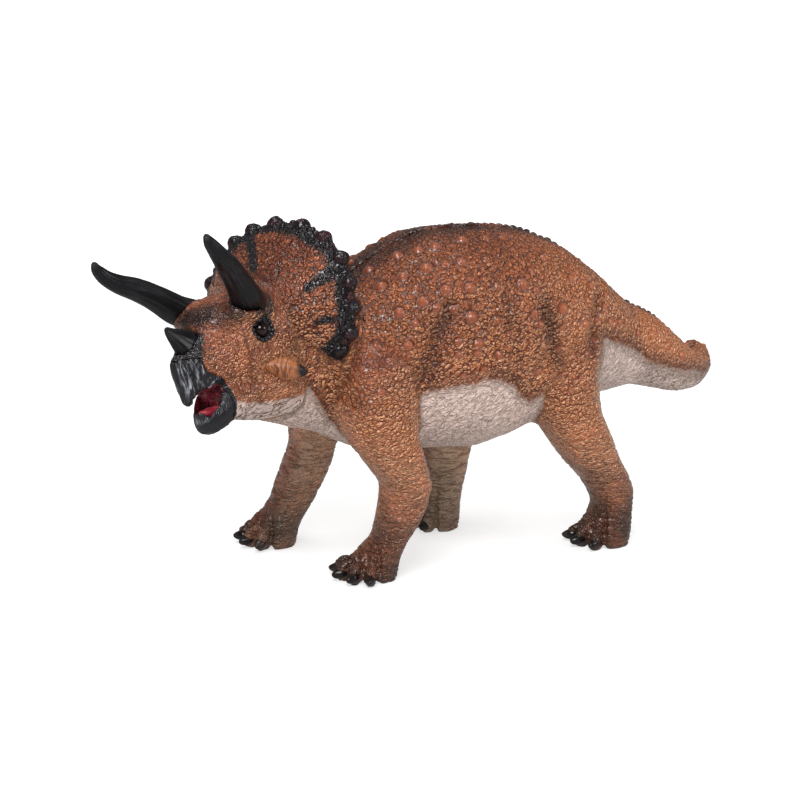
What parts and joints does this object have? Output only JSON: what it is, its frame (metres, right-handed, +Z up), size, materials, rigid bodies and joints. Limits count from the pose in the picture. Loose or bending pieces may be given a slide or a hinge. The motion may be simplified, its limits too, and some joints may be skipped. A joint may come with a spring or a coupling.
{
  "type": "toy dinosaur figure",
  "caption": "Solid moulded horned dinosaur figure, walking, mouth open, head turned to its left, with frill, horns, beak and curled tail",
  "frame": {"origin": "middle of the figure's bounding box in X and Y, on the ground plane", "axes": "+X from head to tail along the spine, the animal's left side faces -Y, +Z up; the soles stand on z = 0"},
  "size_m": [0.1904, 0.0614, 0.0938],
  "materials": {
    "painted_skin": "soft PVC, airbrushed rust brown with dark washes and cream underside, satin",
    "black_horn": "soft PVC, painted satin black, dry-brushed grey",
    "ochre_spike": "soft PVC, painted ochre with a dark tip",
    "mouth_red": "soft PVC, painted pink-red, semi-gloss",
    "eye_gloss": "glossy black bead"
  },
  "bodies": {
    "root": {"torso": "painted_skin", "tail": "painted_skin", "head": "painted_skin", "leg_front_left": "painted_skin", "leg_front_right": "painted_skin", "leg_hind_left": "painted_skin", "leg_hind_right": "painted_skin", "lower_jaw": "black_horn", "nose_horn": "black_horn", "brow_horn_left": "black_horn", "brow_horn_right": "black_horn", "cheek_spike_left": "ochre_spike", "cheek_spike_right": "ochre_spike", "tongue": "mouth_red", "eye_left": "eye_gloss", "eye_right": "eye_gloss"}
  },
  "joints": []
}
